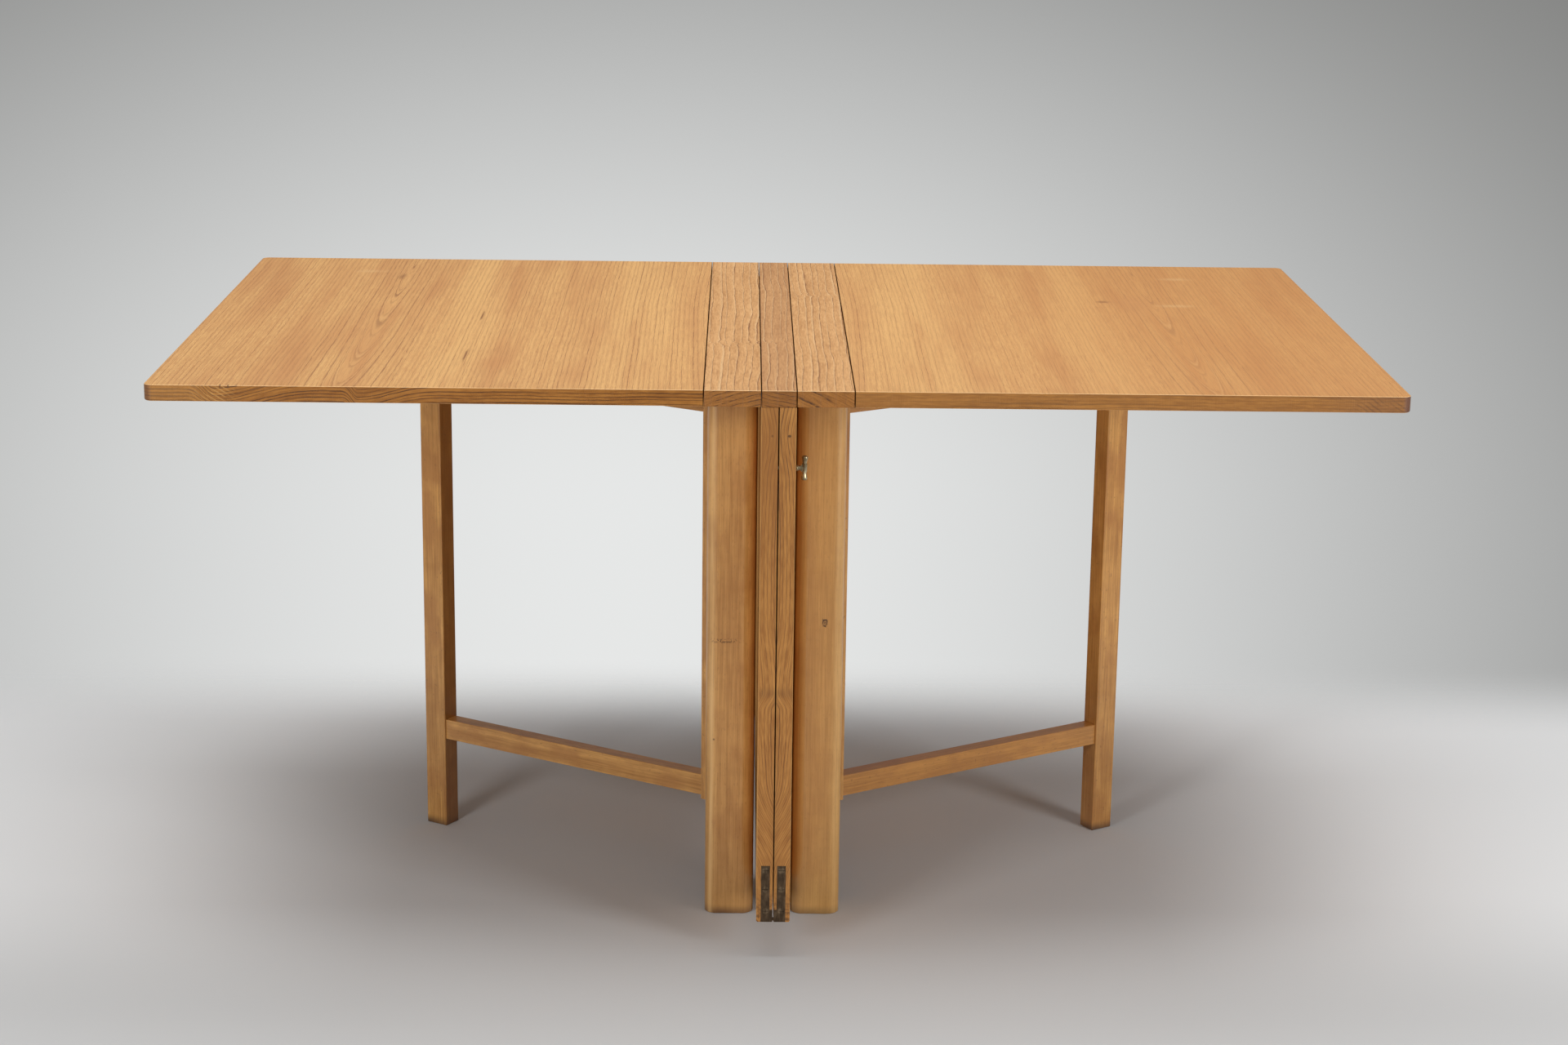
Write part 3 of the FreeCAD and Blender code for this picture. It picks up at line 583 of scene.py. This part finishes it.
BOOK_MATCH_X = -0.497
CURL_X = -0.665
CURL_PITCH = 0.0085
CURL_RIGHT_END_X = (0.64, 0.70)
SHINY_LEFT_END_X = (-0.62, -0.72)
DARK_RIGHT_END_X = (0.62, 0.72)
DARK_CORNER_X = (0.7385, 0.7445)
FRONT_FACE_Y = (-0.444, -0.446)
CHIPS_X = -0.66
CHIPS_Z = 0.7165
EDGE_CORNER = (0.15, 0.065, 0.038, 1)
EDGE_DESATURATED_RIGHT = (0.44, 0.230, 0.085, 1)
LIPPING_FINISH = {"Specular IOR Level": 0.30}


def outer_lipping():
    """Veneer on the upper and lower faces, the lipping's own grain on the edges, a painted highlight on the
    upper arris between.
    """
    material, place = start_material("elm_outer_lipping")
    x, y, z = place.axes()
    top, roughness, height = outer_veneer(place, x, y)
    dip = x.rise(BOOK_MATCH_X + 0.11, BOOK_MATCH_X) * x.rise(BOOK_MATCH_X - 0.022, BOOK_MATCH_X)
    dip = dip + x.rise(CURL_X + 0.16, CURL_X) * x.rise(CURL_X - 0.040, CURL_X) * 1.2
    edge, _, _ = edge_grain(place, x, z + dip ** 2 * 0.016, y.rise(-0.1, 0.1) * BACK_SEED, EDGE_RING,
                            faintness=x.right(0.1) * 0.5)
    curl = (x + z * 1.5 + place.noise(x * 30, z * 30, 2.0) * 0.012) / CURL_PITCH
    curl = curl.fraction().hump(0.5, 0.30) * place.noise(x * 45, z * 60, 5.0).rise(0.40, 0.62)
    edge = (curl * x.rise(*CURL_RIGHT_END_X) * 0.6).blend(edge, EDGE_LINE)
    edge = (curl * x.hump(CURL_X, 0.045) * 0.75).blend(edge, EDGE_SHEEN)
    edge = (x.rise(*SHINY_LEFT_END_X) * 0.25).blend(edge, EDGE_SHEEN)
    # The right leaf's edges are made a little paler and less saturated.
    edge = (x.right(0.05) * 0.20).blend(edge, EDGE_DESATURATED_RIGHT)
    darkened = abs(x).rise(*DARK_CORNER_X) * 0.65 + x.rise(*DARK_RIGHT_END_X) * 0.30
    edge = darkened.blend(edge, EDGE_CORNER)
    level = facing(place, UPRIGHT)
    colour = level.rise(0.55, 0.85).blend(edge, top)
    # Painted highlight along the upper arris.
    arris_highlight = level.hump(0.66, 0.32) * near_top(z)
    colour, grime_and_shade = grimed_and_shaded(x, (arris_highlight * 0.85).blend(colour, ELM_HIGHLIGHT))
    chips = place.noise(x * 210, z * 60, 4.0, 1.0).rise(0.60, 0.66) * (z - CHIPS_Z).rise(0.0, 0.0016)
    chips = chips * x.hump(CHIPS_X, 0.030) * y.rise(*FRONT_FACE_Y)
    colour = (chips * 0.85).blend(colour, EDGE_LINE)
    finish_material(material, colour, roughness, height - chips * 2, VENEER_RELIEF, LIPPING_FINISH, grime_and_shade)
    return material


dress(both("outer_leaf"), outer_panel())
dress(both("outer_leaf_lippings"), outer_lipping())


# Inner leaves, which hang face to face and unfold into the middle of the table.
# Panels with the same veneer; the lippings' grain runs up and down as they hang,
# mirrored from leaf to leaf, and leans towards the middle at two heights.

UNDERSIDE_X = (0.0200, 0.0206)
BOARD_PALE = (0.48, 0.215, 0.048, 1)
BOARD_DEEP = (0.28, 0.104, 0.018, 1)
BOARD_RING = 0.0042
BOARD_SEED = 4.0
BOARD_RELIEF = 0.00012
BOARD_FINISH = {"Specular IOR Level": 0.45}
BOARD_ARRIS_X = (0.0198, 0.0207)
BOARD_SHADOW_TOP_Z = (0.46, 0.62)
BOARD_SOIL_Z = (0.105, 0.045)
COARSE_GRAIN_Z = (0.33, 0.12)
LEAN_Z = 0.345
FOOT_LEAN_Z = 0.095
PIN_KNOT_X = 0.0095
PIN_KNOT_Z = 0.665


def inner_panel():
    """The veneer on a hanging leaf, without sheen on its underside, which is turned to the legs."""
    material, place = start_material("elm_veneer_inner")
    x, y, z = place.axes()
    orange = x.right(0.001) * 0.3
    colour, roughness, height = veneer(place, z, y, orange, orange)
    underside = abs(x).rise(*UNDERSIDE_X)
    finish_material(material, colour, roughness, height, VENEER_RELIEF, ELM_FINISH, underside)
    return material


def inner_lipping():
    """Upright grain with close lines, two pin knots, painted sheen on the outer arris, painted shade at the
    top of the left leaf, and a soiled foot.
    """
    material, place = start_material("elm_inner_lipping")
    x = place.dot(ACROSS)
    z = place.dot(UPRIGHT)
    across = abs(x)
    lean = z.rise(0.440, LEAN_Z) * z.rise(0.322, LEAN_Z) * 0.009 + z.rise(0.235, FOOT_LEAN_Z) * 0.045
    knot_pull = z.hump(PIN_KNOT_Z, 0.060) * 0.007
    low = z.rise(*COARSE_GRAIN_Z)
    grain_place = (across + lean + knot_pull) * (1 + low * 0.65)
    colour, fibre, lines = edge_grain(place, z, grain_place, BOARD_SEED, BOARD_RING, width=0.22 + low * 0.10,
                                      pale=BOARD_PALE, deep=BOARD_DEEP, faintness=0.10 + low * 0.22,
                                      unrest=0.45)
    from_knot = (across - PIN_KNOT_X - x * 0.25).hypotenuse(z - PIN_KNOT_Z)
    colour = (from_knot.rise(0.0022, 0.0010) * 0.8).blend(colour, EDGE_LINE)
    colour = (z.hump(LEAN_Z, 0.010) * 0.25).blend(colour, EDGE_LINE)
    # Painted shadow: the left leaf darker towards its top, under the overhang of the top.
    colour = (x.left(0.002) * z.rise(*BOARD_SHADOW_TOP_Z) * 0.50).blend(colour, BOARD_DEEP)
    # Painted sheen along the outer arris.
    colour = (across.rise(*BOARD_ARRIS_X) * 0.55).blend(colour, EDGE_SHEEN)
    soil = z.rise(*BOARD_SOIL_Z) * place.noise(x * 260, z * 260, 7.0).rise(0.42, 0.62)
    colour = (soil * 0.7).blend(colour, EDGE_LINE)
    height = fibre * 0.4 - lines * 0.6
    finish_material(material, colour, 0.40 + fibre * 0.1, height, BOARD_RELIEF, BOARD_FINISH)
    return material


dress(both("inner_leaf"), inner_panel())
dress(both("inner_leaf_lippings"), inner_lipping())


# L-shaped hinges at the lower ends of the inner leaves, with their links, pins and screws.
# Brass browned almost black, the screw heads rubbed a little brighter; the plates are let
# flush into the leaves' front and back edges.

BRONZE_DARK = (0.060, 0.038, 0.022, 1)
BRONZE_WORN = (0.150, 0.098, 0.056, 1)
BRONZE_SCREW = (0.255, 0.182, 0.110, 1)


def browned_brass(name, dark, worn, roughness):
    """Dark patina, cloudy and rubbed through in places."""
    material, place = start_material(name)
    x, y, z = place.axes()
    clouds = place.noise(x * 160, y * 160, z * 90, 4.0)
    scratches = place.noise(x * 1400, y * 1400, z * 90)
    colour = (clouds * 0.8 + scratches * 0.4).rise(0.45, 0.85).blend(dark, worn)
    finish_material(material, colour, roughness + clouds * 0.2, scratches, METAL_RELIEF, {"Metallic": 0.85})
    return material


dress(both("card_hinge_plates", "card_hinge_pins") + ["card_hinge_links"],
      browned_brass("browned_brass_plate", BRONZE_DARK, BRONZE_WORN, roughness=0.36))
dress(both("card_hinge_screws"),
      browned_brass("browned_brass_screw", BRONZE_DARK, BRONZE_SCREW, roughness=0.30))


# Loose centre strip, a narrow solid elm board laid in the slot above the inner leaves.
# Its lower edges are rounded so that it drops in between the fixed strips.

CENTRE_PALE = (0.66, 0.345, 0.135, 1)
CENTRE_DEEP = (0.47, 0.215, 0.072, 1)
centre_strip_elm = elm_strip("elm_centre_strip", CENTRE_PALE, CENTRE_DEEP, kink_y=-0.154, end_middle=0.0,
                             end_slope=-0.20, end_bow=1.5, end_ring=0.0046, end_reach=0.040)
dress(["centre_strip"], centre_strip_elm)


# Clamp screw with its bush and socket, which holds the inner leaves together.
# Turned brass, tarnished and rubbed bright; the crossbar is pushed through the spindle's head
# and its ends swell and are rounded off for the fingers.

BRASS_DULL = (0.20, 0.150, 0.080, 1)
BRASS_RUBBED = (0.62, 0.52, 0.33, 1)
CROSSBAR_TILT = math.radians(1.5)
CROSSBAR_HALF_OUTLINE = ((0.00245, 0.0), (0.00245, 0.0055), (0.00275, 0.0075), (0.00325, 0.0098),
                         (0.00375, 0.0120), (0.00375, 0.0136), (0.0031, 0.0146), (0.0017, 0.0151),
                         (0.0, 0.0152))
CROSSBAR_STEPS = 24
CROSSBAR_MERGE = 0.00001


def turned_crossbar():
    """The crossbar as one turned piece: half of its outline, spun round and mirrored."""
    shape = bmesh.new()
    points = [shape.verts.new((radius, 0, height)) for radius, height in CROSSBAR_HALF_OUTLINE]
    outline = [shape.edges.new(pair) for pair in zip(points, points[1:])]
    bmesh.ops.spin(shape, geom=points + outline, axis=UPRIGHT, cent=(0, 0, 0), angle=math.tau,
                   steps=CROSSBAR_STEPS, use_merge=True)
    bmesh.ops.mirror(shape, geom=shape.verts[:] + shape.edges[:] + shape.faces[:], axis="Z",
                     merge_dist=CROSSBAR_MERGE)
    bmesh.ops.remove_doubles(shape, verts=shape.verts[:], dist=CROSSBAR_MERGE)
    bmesh.ops.recalc_face_normals(shape, faces=shape.faces[:])
    low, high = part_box("clamp_crossbar")
    middle = (Vector(low) + Vector(high)) / 2
    shape.transform(Matrix.Translation(middle) @ Matrix.Rotation(CROSSBAR_TILT, 4, "Y"))
    for face in shape.faces:
        face.smooth = True
    mesh = bpy.data.meshes.new("turned_crossbar")
    shape.to_mesh(mesh)
    shape.free()
    piece = bpy.data.objects.new("turned_crossbar", mesh)
    bpy.context.scene.collection.objects.link(piece)
    return piece


rubbed_brass = browned_brass("rubbed_brass", BRASS_DULL, BRASS_RUBBED, roughness=0.12)
dress(["clamp_spindle", "clamp_crossbar", "clamp_bush", "clamp_socket"], rubbed_brass)
crossbar = turned_crossbar()
crossbar.data.materials.append(rubbed_brass)
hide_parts("clamp_crossbar")
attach(crossbar, "clamp_screw")


# Floor and backdrop: a matt pale studio floor that fades out into an even background,
# which is brightest low behind the table. The floor's colour holds painted light and shade:
# darker near the table, brighter round it, dimmer in front and far off.
# The background is seen and mirrored but lights nothing: a plain grey surround does that.

FLOOR_RADIUS = 30.0
FLOOR_SIDES = 64
FLOOR_ROUGHNESS = 0.85
FLOOR_NEAR = (0.54, 0.550, 0.560, 1)
FLOOR_MIDDLE = (0.86, 0.870, 0.875, 1)
FLOOR_FRONT = (0.60, 0.605, 0.605, 1)
FLOOR_FAR = (0.42, 0.420, 0.418, 1)
FLOOR_BRIGHTENS = (0.42, 0.95)
FLOOR_DIMS = (1.6, 2.6)
FLOOR_DIMS_FRONT = (-0.20, -0.65)
FLOOR_FADES = (3.0, 5.5)
FLOOR_FADES_BEHIND = (0.42, 0.80)
BACKDROP_BRIGHT = (0.79, 0.80, 0.795, 1)
BACKDROP_DIM = (0.21, 0.21, 0.205, 1)
BACKDROP_PLAIN = (0.62, 0.62, 0.615, 1)
BACKDROP_MIDDLE = (-0.036, -0.253)
BACKDROP_REACH = (0.50, 0.298)
BACKDROP_TURNS_PLAIN = (0.90, 0.80)
SURROUND = (0.20, 0.20, 0.20, 1)

bpy.ops.mesh.primitive_circle_add(vertices=FLOOR_SIDES, radius=FLOOR_RADIUS, fill_type="NGON")
floor = bpy.context.object
floor.name = "studio_floor"
floor_material, floor_place = start_material("pale_floor")
floor.data.materials.append(floor_material)
floor_tree = floor_material.node_tree
floor_shader = floor_tree.nodes["Principled BSDF"]
floor_shader.inputs["Roughness"].default_value = FLOOR_ROUGHNESS
behind = floor_place.dot(DEPTHWISE)
from_middle = floor_place.dot(ACROSS).hypotenuse(behind)
# Painted light and shade in the floor's colour: darker near the table, brighter round it, dimmer towards the
# front and far away.
floor_colour = from_middle.rise(*FLOOR_BRIGHTENS).blend(FLOOR_NEAR, FLOOR_MIDDLE)
floor_colour = behind.rise(*FLOOR_DIMS_FRONT).blend(floor_colour, FLOOR_FRONT)
floor_colour = from_middle.rise(*FLOOR_DIMS).blend(floor_colour, FLOOR_FAR)
floor_tree.links.new(floor_colour.socket, floor_shader.inputs["Base Color"])
fade = floor_place.node("MixShader", {}, {
    0: from_middle.rise(*FLOOR_FADES).most(behind.rise(*FLOOR_FADES_BEHIND)),
    1: Shade(floor_tree, floor_shader.outputs[0]),
    2: floor_place.node("BsdfTransparent"),
})
floor_tree.links.new(fade.socket, floor_tree.nodes["Material Output"].inputs["Surface"])

world = bpy.data.worlds.new("studio")
bpy.context.scene.world = world
world.use_nodes = True
sky = Shade(world.node_tree)
seen = sky.node("LightPath", output="Is Camera Ray")
seen = seen.most(sky.node("LightPath", output="Is Glossy Ray"))
seen = seen.most(sky.node("LightPath", output="Is Transmission Ray"))
looking = sky.node("TexCoord", output="Generated")
sideways = (looking.dot(ACROSS) - BACKDROP_MIDDLE[0]) / BACKDROP_REACH[0]
upwards = (looking.dot(UPRIGHT) - BACKDROP_MIDDLE[1]).most(0.0) / BACKDROP_REACH[1]
backdrop = sideways.hypotenuse(upwards).rise(1.0, 0.0).blend(BACKDROP_DIM, BACKDROP_BRIGHT)
backdrop = looking.dot(DEPTHWISE).rise(*BACKDROP_TURNS_PLAIN).blend(backdrop, BACKDROP_PLAIN)
background = world.node_tree.nodes["Background"]
world.node_tree.links.new(seen.blend(SURROUND, backdrop).socket, background.inputs["Color"])


# Studio lamps: a large soft box overhead, a soft box at the front left
# and one further round at the right. Each is given by its radiance, so that
# its size can change and its face stays as bright.

def soft_box(name, place, target, width, height, radiance):
    """An area lamp that shines from a place towards a target."""
    lamp = bpy.data.lights.new(name, "AREA")
    lamp.shape = "RECTANGLE"
    lamp.size = width
    lamp.size_y = height
    lamp.energy = radiance * math.pi * width * height
    holder = bpy.data.objects.new(name, lamp)
    bpy.context.scene.collection.objects.link(holder)
    holder.location = place
    holder.rotation_euler = (Vector(target) - Vector(place)).to_track_quat("-Z", "Y").to_euler()


soft_box("overhead_box", place=(0, 0.1, 3.0), target=(0, 0.1, 0.7), width=3.2, height=2.2, radiance=2.70)
soft_box("left_box", place=(-1.8, -2.7, 1.15), target=(0, 0, 0.45), width=0.8, height=1.1, radiance=13.0)
soft_box("right_box", place=(2.35, -2.25, 1.15), target=(0, 0, 0.45), width=0.8, height=1.1, radiance=15.5)


# Camera at the photograph's viewpoint, for a frame of 1920 by 1280.
# The viewpoint was solved from the outline of the table top and the feet.

FRAME_WIDTH_PX = 1920
FOCAL_PX = 3616.6
VIEWPOINT = Vector((-0.0439, -3.8607, 1.4518))
YAW = 0.01504
PITCH = 0.25591
ROLL = -0.0130

camera_data = bpy.data.cameras.new("viewpoint")
camera_data.sensor_fit = "HORIZONTAL"
camera_data.lens = camera_data.sensor_width * FOCAL_PX / FRAME_WIDTH_PX
camera = bpy.data.objects.new("viewpoint", camera_data)
bpy.context.scene.collection.objects.link(camera)
camera.matrix_world = (Matrix.Translation(VIEWPOINT) @ Matrix.Rotation(-YAW, 4, "Z")
                       @ Matrix.Rotation(math.pi / 2 - PITCH, 4, "X") @ Matrix.Rotation(-ROLL, 4, "Z"))
bpy.context.scene.camera = camera
bpy.context.scene.view_settings.view_transform = "Standard"
